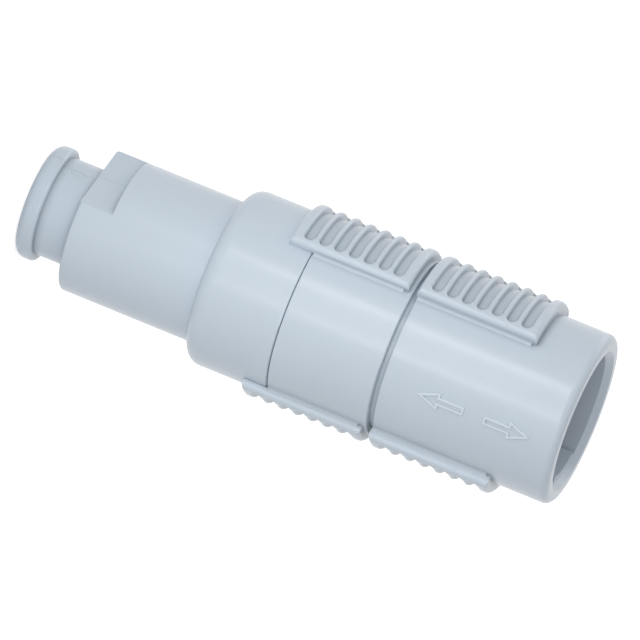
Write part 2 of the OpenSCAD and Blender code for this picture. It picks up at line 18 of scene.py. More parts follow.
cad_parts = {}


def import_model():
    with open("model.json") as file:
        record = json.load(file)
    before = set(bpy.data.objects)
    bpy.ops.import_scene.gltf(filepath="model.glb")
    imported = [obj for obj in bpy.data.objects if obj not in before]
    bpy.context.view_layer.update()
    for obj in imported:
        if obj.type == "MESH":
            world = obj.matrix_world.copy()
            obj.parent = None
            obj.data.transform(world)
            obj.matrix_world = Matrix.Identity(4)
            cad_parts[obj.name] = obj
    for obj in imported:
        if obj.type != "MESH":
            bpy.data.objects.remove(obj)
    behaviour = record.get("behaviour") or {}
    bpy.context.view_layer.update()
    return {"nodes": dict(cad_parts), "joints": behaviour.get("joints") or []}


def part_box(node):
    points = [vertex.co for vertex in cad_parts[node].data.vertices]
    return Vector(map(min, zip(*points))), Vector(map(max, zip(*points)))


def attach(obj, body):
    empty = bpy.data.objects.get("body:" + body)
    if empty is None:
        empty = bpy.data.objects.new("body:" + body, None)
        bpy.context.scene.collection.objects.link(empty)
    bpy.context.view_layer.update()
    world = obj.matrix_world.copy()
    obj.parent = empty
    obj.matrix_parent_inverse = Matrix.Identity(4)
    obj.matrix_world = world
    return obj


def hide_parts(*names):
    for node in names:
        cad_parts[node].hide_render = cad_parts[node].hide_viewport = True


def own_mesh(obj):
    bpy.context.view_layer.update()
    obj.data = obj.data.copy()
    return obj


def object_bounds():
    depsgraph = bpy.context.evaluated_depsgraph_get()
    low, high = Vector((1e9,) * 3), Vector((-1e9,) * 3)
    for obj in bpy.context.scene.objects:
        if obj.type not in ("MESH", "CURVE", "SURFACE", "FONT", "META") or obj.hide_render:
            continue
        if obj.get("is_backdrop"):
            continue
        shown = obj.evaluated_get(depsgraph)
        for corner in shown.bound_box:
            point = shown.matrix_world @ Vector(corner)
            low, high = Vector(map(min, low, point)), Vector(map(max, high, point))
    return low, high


LOG = logging.getLogger("connector")
MM = 0.001
Colour = tuple[float, float, float]


class Body(Enum):
    """The bodies that the joints move."""

    NUT = "nut"
    CLAMP = "clamp"
    SHELL = "shell"
    SLEEVE = "sleeve"


class Slot(Enum):
    """The record's material slots."""

    SHELL = "shell_plastic"
    CLAMP = "clamp_plastic"
    INSERT = "insert_plastic"
    SEAL = "seal_rubber"
    SPRING = "spring_steel"
    CONTACT = "contact_gold"


class Way(Enum):
    """Where a sign on the coupling sleeve points along the axis."""

    REAR = -1
    FRONT = 1


# ---- the bench: selecting, editing and finishing a mesh ----


class Bench:
    """Small operations that every piece needs, done with Blender's own operators."""

    @staticmethod
    def pick(obj: bpy.types.Object) -> None:
        """Selects one object only and makes it active.

        Args:
            obj: The object to work on.
        """
        bpy.ops.object.select_all(action="DESELECT")
        obj.select_set(True)
        bpy.context.view_layer.objects.active = obj

    @staticmethod
    def added(name: str) -> bpy.types.Object:
        """Names the primitive that was just added.

        Args:
            name: The piece's name.

        Returns:
            The primitive, selected alone.
        """
        obj = bpy.context.active_object
        obj.name = name
        obj.data.name = name
        Bench.pick(obj)
        return obj

    @staticmethod
    @contextmanager
    def editing(obj: bpy.types.Object, mode: str = "FACE") -> Iterator[None]:
        """Opens edit mode on one object, with all of it selected.

        Args:
            obj: The object to edit.
            mode: VERT, EDGE or FACE.
        """
        Bench.pick(obj)
        bpy.ops.object.mode_set(mode="EDIT")
        bpy.ops.mesh.select_mode(type=mode)
        bpy.ops.mesh.select_all(action="SELECT")
        try:
            yield
        finally:
            bpy.ops.object.mode_set(mode="OBJECT")

    @staticmethod
    def settle(obj: bpy.types.Object) -> None:
        """Moves an object's place, turn and size into its mesh."""
        Bench.pick(obj)
        bpy.ops.object.transform_apply(location=True, rotation=True, scale=True)

    @staticmethod
    def modify(obj: bpy.types.Object, kind: str, **settings: object) -> None:
        """Adds a modifier and applies it.

        Args:
            obj: The object to modify.
            kind: The modifier's type.
            settings: Values of the modifier's properties.
        """
        Bench.pick(obj)
        modifier = obj.modifiers.new(kind.title(), kind)
        for key, value in settings.items():
            setattr(modifier, key, value)
        bpy.ops.object.modifier_apply(modifier=modifier.name)

    @staticmethod
    def close_ends(obj: bpy.types.Object) -> None:
        """Merges doubles, fills every open loop and turns the faces outwards."""
        with Bench.editing(obj, "VERT"):
            bpy.ops.mesh.remove_doubles(threshold=0.1e-6)
            bpy.ops.mesh.select_all(action="DESELECT")
            bpy.ops.mesh.select_non_manifold(extend=False)
            bpy.ops.mesh.fill()
            bpy.ops.mesh.select_all(action="SELECT")
            bpy.ops.mesh.normals_make_consistent(inside=False)

    @staticmethod
    def smooth(obj: bpy.types.Object, angle: float = 40.0) -> None:
        """Shades an object smooth, apart from edges sharper than an angle in degrees."""
        Bench.pick(obj)
        bpy.ops.object.shade_smooth_by_angle(angle=math.radians(angle))


# ---- finishes ----


class Recipe:
    """A material under construction: one principled shader and the nodes that feed it."""

    def __init__(self, name: str) -> None:
        """Starts an empty material.

        Args:
            name: The material's name.
        """
        self.material = bpy.data.materials.new(name)
        self.material.use_nodes = True
        self.tree = self.material.node_tree
        self.tree.nodes.clear()
        self.shader = self.add("ShaderNodeBsdfPrincipled")
        output = self.add("ShaderNodeOutputMaterial")
        self.link(self.shader, "BSDF", output, "Surface")
        self.place = self.add("ShaderNodeTexCoord")

    def add(self, kind: str, **values: object) -> bpy.types.Node:
        """Adds a node.

        Args:
            kind: The node's type.
            values: Values by socket name where the node has such a socket, or else by property.

        Returns:
            The node.
        """
        node = self.tree.nodes.new(kind)
        for key, value in values.items():
            socket = key.replace("_", " ")
            if hasattr(node, key):
                setattr(node, key, value)
            else:
                node.inputs[socket].default_value = value
        return node

    def link(self, source: bpy.types.Node, out: str | int, target: bpy.types.Node, into: str | int) -> None:
        """Joins an output of one node to an input of another."""
        self.tree.links.new(source.outputs[out], target.inputs[into])

    def noise(self, scale: float, detail: float) -> bpy.types.Node:
        """Adds noise over the object's own coordinates.

        Args:
            scale: Features per metre.
            detail: Octaves.

        Returns:
            The noise node.
        """
        node = self.add("ShaderNodeTexNoise", Scale=scale, Detail=detail)
        self.link(self.place, "Object", node, "Vector")
        return node

    def ranged(self, source: bpy.types.Node, out: str | int, low: float, high: float) -> bpy.types.Node:
        """Maps the middle of a noise to a range of values.

        Args:
            source: The node that gives the noise.
            out: Its output.
            low: Result at 0.2.
            high: Result at 0.8.

        Returns:
            The map range node.
        """
        node = self.add(
            "ShaderNodeMapRange", interpolation_type="SMOOTHERSTEP",
            From_Min=0.2, From_Max=0.8, To_Min=low, To_Max=high,
        )
        self.link(source, out, node, "Value")
        return node

    def tinted(self, factor: bpy.types.Node, out: str | int, one: Colour, two: Colour) -> bpy.types.Node:
        """Mixes two colours by a factor.

        Args:
            factor: The node that gives the factor.
            out: Its output.
            one: Colour at 0.
            two: Colour at 1.

        Returns:
            The mix node.
        """
        node = self.add("ShaderNodeMixRGB", Color1=(*one, 1.0), Color2=(*two, 1.0))
        self.link(factor, out, node, "Fac")
        return node

    def relief(
        self, source: bpy.types.Node, out: str | int, depth: float, under: bpy.types.Node
    ) -> bpy.types.Node:
        """Adds a bump over another normal.

        Args:
            source: The node that gives the height.
            out: Its output.
            depth: Height of the relief.
            under: The node whose normal it stands on.

        Returns:
            The bump node.
        """
        node = self.add("ShaderNodeBump", Strength=1.0, Distance=depth)
        self.link(source, out, node, "Height")
        self.link(under, "Normal", node, "Normal")
        return node


@dataclass(frozen=True)
class MouldedPlastic:
    """Satin injection-moulded plastic, with faint flow clouds, fine spark grain, a few specks, a painted
    highlight on outer edges and painted shade in grooves and inner corners.
    """

    name: str
    colour: Colour
    cloud: float = 0.008
    cloud_scale: float = 110
    roughness: float = 0.26
    polish: float = 0.012
    polish_scale: float = 160
    ior: float = 1.5
    wave_depth: float = 0.006 * MM
    wave_scale: float = 260
    grain_depth: float = 0.0012 * MM
    grain_scale: float = 9000
    speck_share: float = 0.04
    speck_scale: float = 300
    speck_r: float = 0.09 * MM
    speck_shade: float = 0.55
    edge_r: float = 0.07 * MM
    # painted highlight on outer edges: how pale, and the bevel-turn and occlusion ranges that mask it
    edge_highlight_share: float = 0.35
    edge_turn: tuple[float, float] = (0.995, 0.8)
    edge_air: tuple[float, float] = (0.8, 0.97)
    # painted shade in grooves and inner corners: its strength, reach, occlusion range and darkness
    painted_shade: float = 0.85
    painted_shade_r: float = 0.9 * MM
    painted_shade_air: tuple[float, float] = (0.97, 0.4)
    painted_shade_tone: float = 0.5
    translucence: float = 0.0
    bleed: float = 0.4 * MM

    def material(self) -> bpy.types.Material:
        """Builds the material.

        Returns:
            The material.
        """
        recipe = Recipe(self.name)
        shader = recipe.shader
        flow = recipe.ranged(recipe.noise(self.cloud_scale, 2), 0, 0.0, 1.0)
        dark = tuple(c * (1 - self.cloud) for c in self.colour)
        pale = tuple(min(1.0, c * (1 + self.cloud)) for c in self.colour)
        body = recipe.tinted(flow, 0, dark, pale)
        # ambient occlusion: it masks the painted edge highlight and sets the painted shade in grooves and
        # inner corners
        open_air = recipe.add(
            "ShaderNodeAmbientOcclusion", samples=8, only_local=True, Distance=self.painted_shade_r
        )
        # painted highlight on outer edges, then painted shade in grooves and corners, then the specks
        edge_highlit = self._painted_edge_highlight(recipe, body, open_air)
        colour = self._specks(recipe, self._painted_corner_shade(recipe, edge_highlit, open_air))
        recipe.link(colour, 0, shader, "Base Color")
        polish = recipe.ranged(
            recipe.noise(self.polish_scale, 2), 0, self.roughness - self.polish, self.roughness + self.polish
        )
        recipe.link(polish, 0, shader, "Roughness")
        soft = recipe.add("ShaderNodeBevel", samples=6, Radius=self.edge_r)
        wave = recipe.relief(recipe.noise(self.wave_scale, 2), 0, self.wave_depth, soft)
        grain = recipe.relief(recipe.noise(self.grain_scale, 2), 0, self.grain_depth, wave)
        recipe.link(grain, "Normal", shader, "Normal")
        shader.inputs["IOR"].default_value = self.ior
        if self.translucence:
            shader.inputs["Subsurface Weight"].default_value = self.translucence
            shader.inputs["Subsurface Radius"].default_value = (1.0, 1.0, 1.1)
            shader.inputs["Subsurface Scale"].default_value = self.bleed
        return recipe.material

    def _painted_edge_highlight(
        self, recipe: Recipe, body: bpy.types.Node, open_air: bpy.types.Node
    ) -> bpy.types.Node:
        """Paints a highlight on outer edges by making them paler, and leaves inner corners as they are.

        Args:
            recipe: The material under construction.
            body: The node that gives the body colour.
            open_air: The node that tells open faces from inner corners.

        Returns:
            The node with the colour and its painted edge highlight.
        """
        round_edge = recipe.add("ShaderNodeBevel", samples=6, Radius=2 * self.edge_r)
        flat = recipe.add("ShaderNodeNewGeometry")
        turned = recipe.add("ShaderNodeVectorMath", operation="DOT_PRODUCT")
        recipe.link(round_edge, "Normal", turned, 0)
        recipe.link(flat, "Normal", turned, 1)
        flat_turn, full_turn = self.edge_turn
        edge_highlight_mask = recipe.add(
            "ShaderNodeMapRange", From_Min=flat_turn, From_Max=full_turn, To_Max=self.edge_highlight_share
        )
        recipe.link(turned, "Value", edge_highlight_mask, "Value")
        outer = recipe.add("ShaderNodeMapRange", From_Min=self.edge_air[0], From_Max=self.edge_air[1])
        recipe.link(open_air, "AO", outer, "Value")
        painted_light_mask = recipe.add("ShaderNodeMath", operation="MULTIPLY")
        recipe.link(edge_highlight_mask, 0, painted_light_mask, 0)
        recipe.link(outer, 0, painted_light_mask, 1)
        # colour of the painted edge highlight, halfway to white
        pale = tuple(c + (1 - c) * 0.5 for c in self.colour)
        node = recipe.add("ShaderNodeMixRGB", Color2=(*pale, 1.0))
        recipe.link(painted_light_mask, 0, node, "Fac")
        recipe.link(body, 0, node, "Color1")
        return node

    def _painted_corner_shade(
        self, recipe: Recipe, body: bpy.types.Node, open_air: bpy.types.Node
    ) -> bpy.types.Node:
        """Paints shade into grooves and inner corners by darkening them.

        Args:
            recipe: The material under construction.
            body: The node that gives the colour of the open faces.
            open_air: The node that tells open faces from inner corners.

        Returns:
            The node with the colour and its painted shade in the corners.
        """
        # painted shade: the more occluded a spot, the darker its colour
        painted_light_mask = recipe.add(
            "ShaderNodeMapRange", From_Min=self.painted_shade_air[0], From_Max=self.painted_shade_air[1], To_Max=self.painted_shade
        )
        recipe.link(open_air, "AO", painted_light_mask, "Value")
        node = recipe.add("ShaderNodeMixRGB", Color2=(*(self.painted_shade_tone * c for c in self.colour), 1.0))
        recipe.link(painted_light_mask, 0, node, "Fac")
        recipe.link(body, 0, node, "Color1")
        return node

    def _specks(self, recipe: Recipe, body: bpy.types.Node) -> bpy.types.Node:
        """Scatters a few small dark specks, as pellets with scorched particles leave them.

        Args:
            recipe: The material under construction.
            body: The node that gives the colour without specks.

        Returns:
            The node with the final colour.
        """
        cells = recipe.add("ShaderNodeTexVoronoi", Scale=self.speck_scale)
        recipe.link(recipe.place, "Object", cells, "Vector")
        reach = self.speck_r * self.speck_scale
        near = recipe.add("ShaderNodeMapRange", From_Min=reach, From_Max=0.5 * reach)
        recipe.link(cells, "Distance", near, "Value")
        rare = recipe.add("ShaderNodeMath", operation="LESS_THAN")
        rare.inputs[1].default_value = self.speck_share
        recipe.link(cells, "Color", rare, 0)
        both = recipe.add("ShaderNodeMath", operation="MULTIPLY")
        recipe.link(near, 0, both, 0)
        recipe.link(rare, 0, both, 1)
        node = recipe.add("ShaderNodeMixRGB", Color2=(*(self.speck_shade * c for c in self.colour), 1.0))
        recipe.link(both, 0, node, "Fac")
        recipe.link(body, 0, node, "Color1")
        return node


@dataclass(frozen=True)
class SoftRubber:
    """Matt silicone rubber with a dusty bloom."""

    name: str
    colour: Colour
    bloom: float = 0.04
    bloom_scale: float = 900
    roughness: tuple[float, float] = (0.68, 0.82)
    rough_scale: float = 2500
    grain_depth: float = 0.003 * MM
    grain_scale: float = 7000
    edge_r: float = 0.08 * MM

    def material(self) -> bpy.types.Material:
        """Builds the material.

        Returns:
            The material.
        """
        recipe = Recipe(self.name)
        share = recipe.ranged(recipe.noise(self.bloom_scale, 4), 0, 0.0, 1.0)
        dusty = tuple(c + self.bloom for c in self.colour)
        recipe.link(recipe.tinted(share, 0, self.colour, dusty), 0, recipe.shader, "Base Color")
        rough = recipe.ranged(recipe.noise(self.rough_scale, 2), 0, *self.roughness)
        recipe.link(rough, 0, recipe.shader, "Roughness")
        soft = recipe.add("ShaderNodeBevel", samples=4, Radius=self.edge_r)
        grain = recipe.relief(recipe.noise(self.grain_scale, 2), 0, self.grain_depth, soft)
        recipe.link(grain, "Normal", recipe.shader, "Normal")
        return recipe.material


@dataclass(frozen=True)
class TurnedMetal:
    """Drawn or turned metal with fine tool marks round or along its axis."""

    name: str
    colour: Colour
    roughness: float
    marks: tuple[float, float, float]
    dullness: float = 0.86
    polish: float = 0.06
    mark_depth: float = 0.0015 * MM
    edge_r: float = 0.04 * MM

    def material(self) -> bpy.types.Material:
        """Builds the material.

        Returns:
            The material.
        """
        recipe = Recipe(self.name)
        stretch = recipe.add("ShaderNodeMapping", Scale=self.marks)
        recipe.link(recipe.place, "Object", stretch, "Vector")
        lines = recipe.add("ShaderNodeTexNoise", Scale=1.0, Detail=3.0)
        recipe.link(stretch, "Vector", lines, "Vector")
        dull = tuple(c * self.dullness for c in self.colour)
        bright = recipe.ranged(lines, 0, 0.0, 1.0)
        recipe.link(recipe.tinted(bright, 0, dull, self.colour), 0, recipe.shader, "Base Color")
        polish = recipe.ranged(lines, 0, self.roughness - self.polish, self.roughness + self.polish)
        recipe.link(polish, 0, recipe.shader, "Roughness")
        soft = recipe.add("ShaderNodeBevel", samples=4, Radius=self.edge_r)
        recipe.link(recipe.relief(lines, 0, self.mark_depth, soft), "Normal", recipe.shader, "Normal")
        recipe.shader.inputs["Metallic"].default_value = 1.0
        return recipe.material


class Finishes:
    """All finishes of the connector: one for each of the record's slots, and for the signs a paler copy of
    the housing plastic, which paints a highlight on them.
    """

    def __init__(self) -> None:
        """Builds the materials."""
        self.by_slot: dict[Slot, bpy.types.Material] = {
            Slot.SHELL: MouldedPlastic("Housing_plastic", (0.545, 0.622, 0.702)).material(),
            Slot.CLAMP: MouldedPlastic(
                "Acetal", (0.72, 0.71, 0.65), roughness=0.36, speck_share=0.03, translucence=0.1
            ).material(),
            Slot.INSERT: MouldedPlastic(
                "Insert_plastic", (0.03, 0.031, 0.034), cloud=0.15, roughness=0.3, edge_highlight_share=0.1
            ).material(),
            Slot.SEAL: SoftRubber("Seal_rubber", (0.035, 0.035, 0.038)).material(),
            Slot.SPRING: TurnedMetal("Spring_steel", (0.62, 0.62, 0.63), 0.28, (2500, 2500, 9000)).material(),
            Slot.CONTACT: TurnedMetal("Contact_gold", (0.86, 0.62, 0.24), 0.2, (900, 900, 16000)).material(),
        }
        # the signs' paler copy of the housing plastic is a painted highlight, and their edges get a strong
        # painted edge highlight
        self.sign = MouldedPlastic(
            "Sign_painted_highlight", (0.66, 0.73, 0.8), roughness=0.3, speck_share=0.0, edge_highlight_share=0.5
        ).material()

    def dress(
        self, obj: bpy.types.Object, slot: Slot, variant: bpy.types.Material | None = None
    ) -> None:
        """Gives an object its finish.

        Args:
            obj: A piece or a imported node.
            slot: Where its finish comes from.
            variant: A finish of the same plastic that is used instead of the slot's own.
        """
        obj.data.materials.clear()
        obj.data.materials.append(variant or self.by_slot[slot])


# ---- what lies on a moulded surface ----


@dataclass
class SurfaceMark:
    """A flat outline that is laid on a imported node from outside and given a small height.

    It is made thicker than its height, so that its foot lies under the node's surface.
    """

    node: bpy.types.Object
    angle: float
    z: float
    height: float
    soften: float
    start_r: float = 12 * MM
    thickening: float = 1.4
    outwards: float = 0.43

    def lay(self, flat: bpy.types.Object) -> bpy.types.Object:
        """Stands a flat outline in front of the node, presses it on and thickens it.

        The outline is drawn in the XY plane, with +Y along the connector's axis.

        Args:
            flat: The outline, at the origin.

        Returns:
            The same object, closed, with its place in its mesh.
        """
        upright = Matrix.Rotation(math.radians(90), 4, "X")
        turn = Matrix.Rotation(math.radians(self.angle + 90), 4, "Z") @ upright
        away = direction(self.angle, 0)
        flat.matrix_world = Matrix.Translation(away * self.start_r + Vector((0, 0, self.z))) @ turn
        Bench.settle(flat)
        for vertex in flat.data.vertices:
            hit, spot, _, _ = self.node.ray_cast(vertex.co, -away)
            if hit:
                vertex.co = spot
        Bench.modify(flat, "SOLIDIFY", thickness=self.height * self.thickening, offset=self.outwards)
        if self.soften:
            Bench.modify(flat, "BEVEL", width=self.soften, segments=2, limit_method="ANGLE")
        with Bench.editing(flat):
            bpy.ops.mesh.normals_make_consistent(inside=False)
        Bench.smooth(flat)
        return flat


@dataclass
class PushPullSign:
    """One raised outline arrow on the coupling sleeve."""

    sleeve: bpy.types.Object
    way: Way
    z_mid: float
    angle: float = 276.0
    length: float = 5.0 * MM
    head_len: float = 2.35 * MM
    head_w: float = 1.9 * MM
    shaft_w: float = 0.86 * MM
    line_w: float = 0.23 * MM
    height: float = 0.15 * MM
    soften: float = 0.07 * MM

    def build(self, name: str) -> bpy.types.Object:
        """Draws the arrow as a seven-cornered face, keeps its border and lays it on the sleeve.

        Args:
            name: The piece's name.

        Returns:
            The finished piece.
        """
        tip = self.length / 2
        barb = tip - self.head_len
        corners = [
            (0, tip), (-self.head_w / 2, barb), (-self.shaft_w / 2, barb), (-self.shaft_w / 2, -tip),
            (self.shaft_w / 2, -tip), (self.shaft_w / 2, barb), (self.head_w / 2, barb),
        ]
        bpy.ops.mesh.primitive_circle_add(vertices=len(corners), radius=MM, fill_type="NGON")
        arrow = Bench.added(name)
        for vertex, (x, y) in zip(arrow.data.vertices, corners):
            vertex.co = (x * self.way.value, y * self.way.value, 0)
        with Bench.editing(arrow):
            bpy.ops.mesh.normals_make_consistent(inside=False)
            bpy.ops.mesh.inset(thickness=self.line_w, use_even_offset=True)
            bpy.ops.mesh.delete(type="FACE")
        with Bench.editing(arrow, "EDGE"):
            bpy.ops.mesh.subdivide(number_cuts=5)
        return SurfaceMark(self.sleeve, self.angle, self.z_mid, self.height, self.soften).lay(arrow)


@dataclass
class PartingLine:
    """The thin witness line where the two halves of the nut's mould met."""

    nut: bpy.types.Object
    angle: float
    z_low: float
    z_high: float
    width: float = 0.07 * MM
    height: float = 0.025 * MM
    step: float = 0.05 * MM

    def build(self, name: str) -> bpy.types.Object:
        """Presses a narrow strip onto the nut from outside.

        Args:
            name: The piece's name.

        Returns:
            The finished piece.
        """
        length = self.z_high - self.z_low
        rows = int(length / self.step)
        bpy.ops.mesh.primitive_grid_add(x_subdivisions=2, y_subdivisions=rows, size=1.0)
        strip = Bench.added(name)
        strip.scale = (self.width, length, 1)
        Bench.settle(strip)
        middle = (self.z_low + self.z_high) / 2
        return SurfaceMark(self.nut, self.angle, middle, self.height, 0.0).lay(strip)


@dataclass
class GateMark:
    """The lens-shaped scar on the nut's neck where the plastic was fed in."""

    nut: bpy.types.Object
    angle: float
    z_mid: float
    length: float = 1.7 * MM
    width: float = 0.75 * MM
    border: float = 0.12 * MM
    height: float = 0.06 * MM
    soften: float = 0.02 * MM

    def build(self, name: str) -> bpy.types.Object:
        """Draws a lens with a border round a lower middle and lays it on the neck.

        Args:
            name: The piece's name.

        Returns:
            The finished piece.
        """
        bpy.ops.mesh.primitive_circle_add(vertices=32, radius=0.5, fill_type="NGON")
        lens = Bench.added(name)
        lens.scale = (self.width, self.length, 1)
        Bench.settle(lens)
        with Bench.editing(lens):
            bpy.ops.mesh.inset(thickness=self.border)
            bpy.ops.mesh.delete(type="FACE")
        with Bench.editing(lens, "EDGE"):
            bpy.ops.mesh.subdivide(number_cuts=1)
        return SurfaceMark(self.nut, self.angle, self.z_mid, self.height, self.soften).lay(lens)


# ---- threads and spring ----


@dataclass
class ThreadRidge:
    """One helical ridge of the screw thread between nut and collar."""

    root_r: float
    crest_r: float
    z_low: float
    turns: float
    start_angle: float
    pitch: float = 1.0 * MM
    root_w: float = 0.72 * MM
    crest_w: float = 0.2 * MM
    steps: int = 48

    def build(self, name: str) -> bpy.types.Object:
        """Screws a trapezoid round the axis and closes its ends.

        Args:
            name: The piece's name.

        Returns:
            The finished piece.
        """
        bpy.ops.mesh.primitive_plane_add(size=1.0)
        ridge = Bench.added(name)
        corners = [
            (self.root_r, -self.root_w / 2), (self.crest_r, -self.crest_w / 2),
            (self.root_r, self.root_w / 2), (self.crest_r, self.crest_w / 2),
        ]
        for vertex, (r, z) in zip(ridge.data.vertices, corners):
            vertex.co = (r, 0, z)
        with Bench.editing(ridge):
            bpy.ops.mesh.delete(type="ONLY_FACE")
        steps = int(self.steps * self.turns)
        Bench.modify(
            ridge, "SCREW", axis="Z", angle=math.tau * self.turns, screw_offset=self.pitch * self.turns,
            iterations=1, steps=steps, render_steps=steps, use_smooth_shade=True,
        )
        ridge.rotation_euler.z = math.radians(self.start_angle)
        ridge.location.z = self.z_low
        Bench.settle(ridge)
        Bench.close_ends(ridge)
        Bench.smooth(ridge, 25)
        return ridge


@dataclass
class SpringCoil:
    """The return spring: round wire with one closed coil at each end."""

    node: str
    wire_r: float = 0.3 * MM
    free_turns: float = 5.0
    closed_turns: float = 0.9
    closed_pitch: float = 2.1
    sides: int = 12
    steps: int = 40

    def build(self, name: str) -> bpy.types.Object:
        """Screws a wire section round the axis, then closes the end coils by moving its rings.

        Args:
            name: The piece's name.

        Returns:
            The finished piece.
        """
        low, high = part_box(self.node)
        coil_r = high.x - self.wire_r
        turns = self.free_turns + 2 * self.closed_turns
        bpy.ops.mesh.primitive_circle_add(
            vertices=self.sides, radius=self.wire_r, rotation=(math.pi / 2, 0, 0)
        )
        coil = Bench.added(name)
        Bench.settle(coil)
        for vertex in coil.data.vertices:
            vertex.co.x += coil_r
        span = high.z - low.z - 2 * self.wire_r
        rings = int(turns * self.steps)
        Bench.modify(
            coil, "SCREW", axis="Z", angle=math.tau * turns, screw_offset=span, iterations=1,
            steps=rings, render_steps=rings, use_smooth_shade=True,
        )
        for vertex in coil.data.vertices:
            ring = self._ring_of(vertex.co, coil_r, turns, span)
            vertex.co.z += low.z + self.wire_r + self._height(ring / turns, span) - ring / turns * span
        Bench.close_ends(coil)
        Bench.smooth(coil, 60)
        return coil

    def _ring_of(self, spot: Vector, coil_r: float, turns: float, span: float) -> float:
        """Turns of the coil up to a point on its wire.

        Args:
            spot: A point of the evenly wound coil.
            coil_r: Radius of the coil's centre line.
            turns: Turns of the whole coil.
            span: Height of the whole coil between wire centres.

        Returns:
            The number of turns, with its fraction.
        """
        part = (math.atan2(spot.y, spot.x) / math.tau) % 1.0
        even = spot.z / span * turns
        return min(turns, max(0.0, part + round(even - part)))

    def _height(self, share: float, span: float) -> float:
        """Height of the wire's centre after a share of its turns.

        Args:
            share: From 0 at the rear end to 1 at the front end.
            span: Height of the whole coil between wire centres.

        Returns:
            The height above the first wire centre.
        """
        closed = self.closed_turns / (self.free_turns + 2 * self.closed_turns)
        tail = self.closed_pitch * self.wire_r
        if share < closed:
            return tail * share / closed
        if share > 1 - closed:
            return span - tail * (1 - share) / closed
        return tail + (span - 2 * tail) * (share - closed) / (1 - 2 * closed)


# ---- sub-assemblies ----


@dataclass
class BackNut:
    """The back nut with its screw thread, parting lines and gate mark."""

    nodes: dict[str, bpy.types.Object]
    finishes: Finishes
    parting_angle: float = 202.5
    thread_root_r: float = 6.45 * MM
    thread_crest_r: float = 6.86 * MM
    stub_len: float = 3.5 * MM
    end_space: float = 0.45 * MM
    line_start: float = 0.1 * MM
    line_end: float = 9.3 * MM
    gate_turn: float = 3.0
    gate_z: float = 3.7 * MM

    def build(self) -> list[bpy.types.Object]:
        """Dresses the nut and adds its marks and thread.

        Returns:
            The new pieces.
        """
        nut = self.nodes["back_nut"]
        self.finishes.dress(nut, Slot.SHELL)
        low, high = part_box("back_nut")
        pieces = []
        for number, turn in enumerate((0, 180), start=1):
            line = PartingLine(nut, self.parting_angle + turn, low.z + self.line_start, self.line_end)
            pieces.append(line.build(f"nut_parting_line_{number}"))
        gate = GateMark(nut, self.parting_angle + self.gate_turn, self.gate_z)
        pieces.append(gate.build("nut_gate_mark"))
        turns = (self.stub_len - 2 * self.end_space) / MM
        thread = ThreadRidge(
            self.thread_root_r, self.thread_crest_r, high.z - self.stub_len + self.end_space, turns, 0.0
        )
        pieces.append(thread.build("nut_thread"))
        for piece in pieces:
            self.finishes.dress(piece, Slot.SHELL)
            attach(piece, Body.NUT.value)
        return pieces


@dataclass
class Shell:
    """What stays fixed to the plug body: collar, grip sleeve, inserts, contacts, latch and seals."""

    nodes: dict[str, bpy.types.Object]
    finishes: Finishes
    joints: list[dict]
    thread_root_r: float = 7.0 * MM
    thread_crest_r: float = 6.58 * MM
    thread_low: float = 22.4 * MM
    thread_turns: float = 2.9
    thread_start: float = 180.0

    SLOTS = {
        "rear_collar": Slot.SHELL,
        "plug_body": Slot.SHELL,
        "grip_sleeve": Slot.SHELL,
        "cable_collet": Slot.CLAMP,
        "cable_seal": Slot.SEAL,
        "body_oring": Slot.SEAL,
        "stop_ring": Slot.SPRING,
        "latch_ring": Slot.CLAMP,
        "insert_retainer": Slot.INSERT,
        "rear_insert": Slot.INSERT,
        "front_insert": Slot.INSERT,
    }

    def build(self) -> list[bpy.types.Object]:
        """Dresses the nodes of the shell, and adds the collar's thread and the smooth spring.

        Returns:
            The new pieces.
        """
        for name, slot in self.SLOTS.items():
            self.finishes.dress(self.nodes[name], slot)
        for name in sorted(n for n in self.nodes if n.startswith("contact_")):
            self.finishes.dress(self.nodes[name], Slot.CONTACT)
        thread = ThreadRidge(
            self.thread_root_r, self.thread_crest_r, self.thread_low, self.thread_turns, self.thread_start
        ).build("collar_thread")
        self.finishes.dress(thread, Slot.SHELL)
        spring = SpringCoil("return_spring").build("return_spring_coil")
        self.finishes.dress(spring, Slot.SPRING)
        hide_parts("return_spring")
        for piece in (thread, spring):
            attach(piece, Body.SHELL.value)
        self._squash(spring)
        return [thread, spring]

    def _squash(self, spring: bpy.types.Object) -> None:
        """Gives the spring its own copy of its mesh.

        Args:
            spring: The finished coil.
        """
        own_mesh(spring)


@dataclass
class CouplingSleeve:
    """The front sleeve with its two push and pull signs."""

    nodes: dict[str, bpy.types.Object]
    finishes: Finishes
    rear_sign_z: float = 47.4 * MM
    front_sign_z: float = 54.6 * MM

    def build(self) -> list[bpy.types.Object]:
        """Dresses the sleeve and adds the signs.

        Returns:
            The new pieces.
        """
        sleeve = self.nodes["coupling_sleeve"]
        self.finishes.dress(sleeve, Slot.SHELL)
        signs = [
            PushPullSign(sleeve, Way.REAR, self.rear_sign_z).build("pull_sign"),
            PushPullSign(sleeve, Way.FRONT, self.front_sign_z).build("push_sign"),
        ]
        for sign in signs:
            # the signs take the painted-highlight copy of the housing plastic
            self.finishes.dress(sign, Slot.SHELL, self.finishes.sign)
            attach(sign, Body.SLEEVE.value)
        return signs


# ---- studio ----


